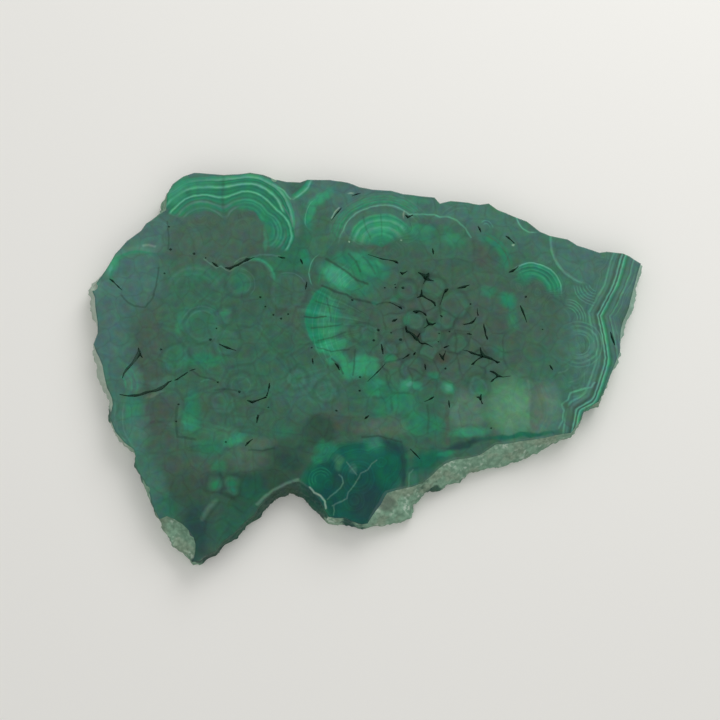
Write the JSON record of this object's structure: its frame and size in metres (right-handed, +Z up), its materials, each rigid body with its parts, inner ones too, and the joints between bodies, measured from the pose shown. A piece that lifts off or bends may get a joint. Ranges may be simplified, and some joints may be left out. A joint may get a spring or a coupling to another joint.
{
  "type": "malachite slice",
  "caption": "Flat slice of banded green stone, polished on top and sawn beneath, with a ragged natural edge; a display specimen or table ornament that lies flat.",
  "frame": {"origin": "middle of the bounding box of the sawn underside", "axes": "+X along the slab's longest side, +Y across it away from the crusted front edge, +Z up out of the polished face"},
  "size_m": [0.1522, 0.107, 0.008],
  "materials": {
    "malachite": "banded green malachite, polished to a gloss on the upper face, sawn dull beneath, rough pale green rim"
  },
  "bodies": {
    "root": {"malachite_slice": "malachite"}
  },
  "joints": []
}
